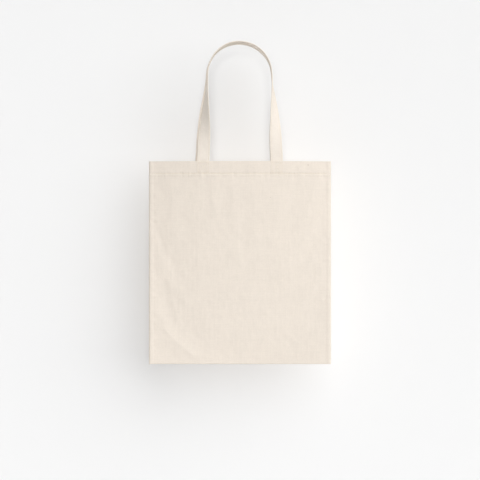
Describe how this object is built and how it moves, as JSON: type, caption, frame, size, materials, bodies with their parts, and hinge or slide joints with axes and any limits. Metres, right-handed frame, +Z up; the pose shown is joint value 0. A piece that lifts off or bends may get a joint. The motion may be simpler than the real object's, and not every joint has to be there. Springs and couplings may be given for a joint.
{
  "type": "tote bag",
  "caption": "Flat cotton canvas shopping tote with a hemmed open mouth and two long sewn-on strap handles that fold over the rim.",
  "frame": {"origin": "on the floor line under the middle of the bag's bottom fold", "axes": "+Z up to the handles' crowns, +X to the right across the bag, front panel on the -Y side"},
  "size_m": [0.38, 0.054, 0.6723],
  "materials": {
    "canvas": "unbleached plain-weave cotton canvas",
    "strap_cloth": "the same canvas, folded and stitched flat",
    "sewing_thread": "spun polyester thread",
    "overlock_thread": "soft overlock thread"
  },
  "bodies": {
    "seams": {"bottom_fold": "canvas", "left_side_seam": "canvas", "left_overlock_thread": "overlock_thread", "left_seam_stitches": "sewing_thread", "right_side_seam": "canvas", "right_overlock_thread": "overlock_thread", "right_seam_stitches": "sewing_thread"},
    "front_panel": {"front_panel": "canvas", "front_hem": "canvas", "front_hem_stitches": "sewing_thread", "front_left_strap_end": "strap_cloth", "front_left_box_stitch": "sewing_thread", "front_right_strap_end": "strap_cloth", "front_right_box_stitch": "sewing_thread"},
    "rear_panel": {"rear_panel": "canvas", "rear_hem": "canvas", "rear_hem_stitches": "sewing_thread", "rear_left_strap_end": "strap_cloth", "rear_left_box_stitch": "sewing_thread", "rear_right_strap_end": "strap_cloth", "rear_right_box_stitch": "sewing_thread"},
    "front_handle": {"front_handle": "strap_cloth", "front_handle_stitches": "sewing_thread"},
    "rear_handle": {"rear_handle": "strap_cloth", "rear_handle_stitches": "sewing_thread"}
  },
  "joints": [
    {"name": "front_panel_open", "type": "hinge", "parent": "seams", "child": "front_panel", "pos_m": [0, -0.00165, 0.00615], "axis": [1, 0, 0], "range_deg": [0, 5]},
    {"name": "rear_panel_open", "type": "hinge", "parent": "seams", "child": "rear_panel", "pos_m": [0, 0.00165, 0.00615], "axis": [-1, 0, 0], "range_deg": [0, 5]},
    {"name": "front_handle_fold", "type": "hinge", "parent": "front_panel", "child": "front_handle", "pos_m": [0, -0.0171, 0.424], "axis": [1, 0, 0], "range_deg": [0, 173]},
    {"name": "rear_handle_fold", "type": "hinge", "parent": "rear_panel", "child": "rear_handle", "pos_m": [0, 0.01695, 0.424], "axis": [-1, 0, 0], "range_deg": [0, 173]}
  ],
  "couplings": [
    {"joint": "rear_panel_open", "follows": "front_panel_open", "ratio": 1}
  ]
}
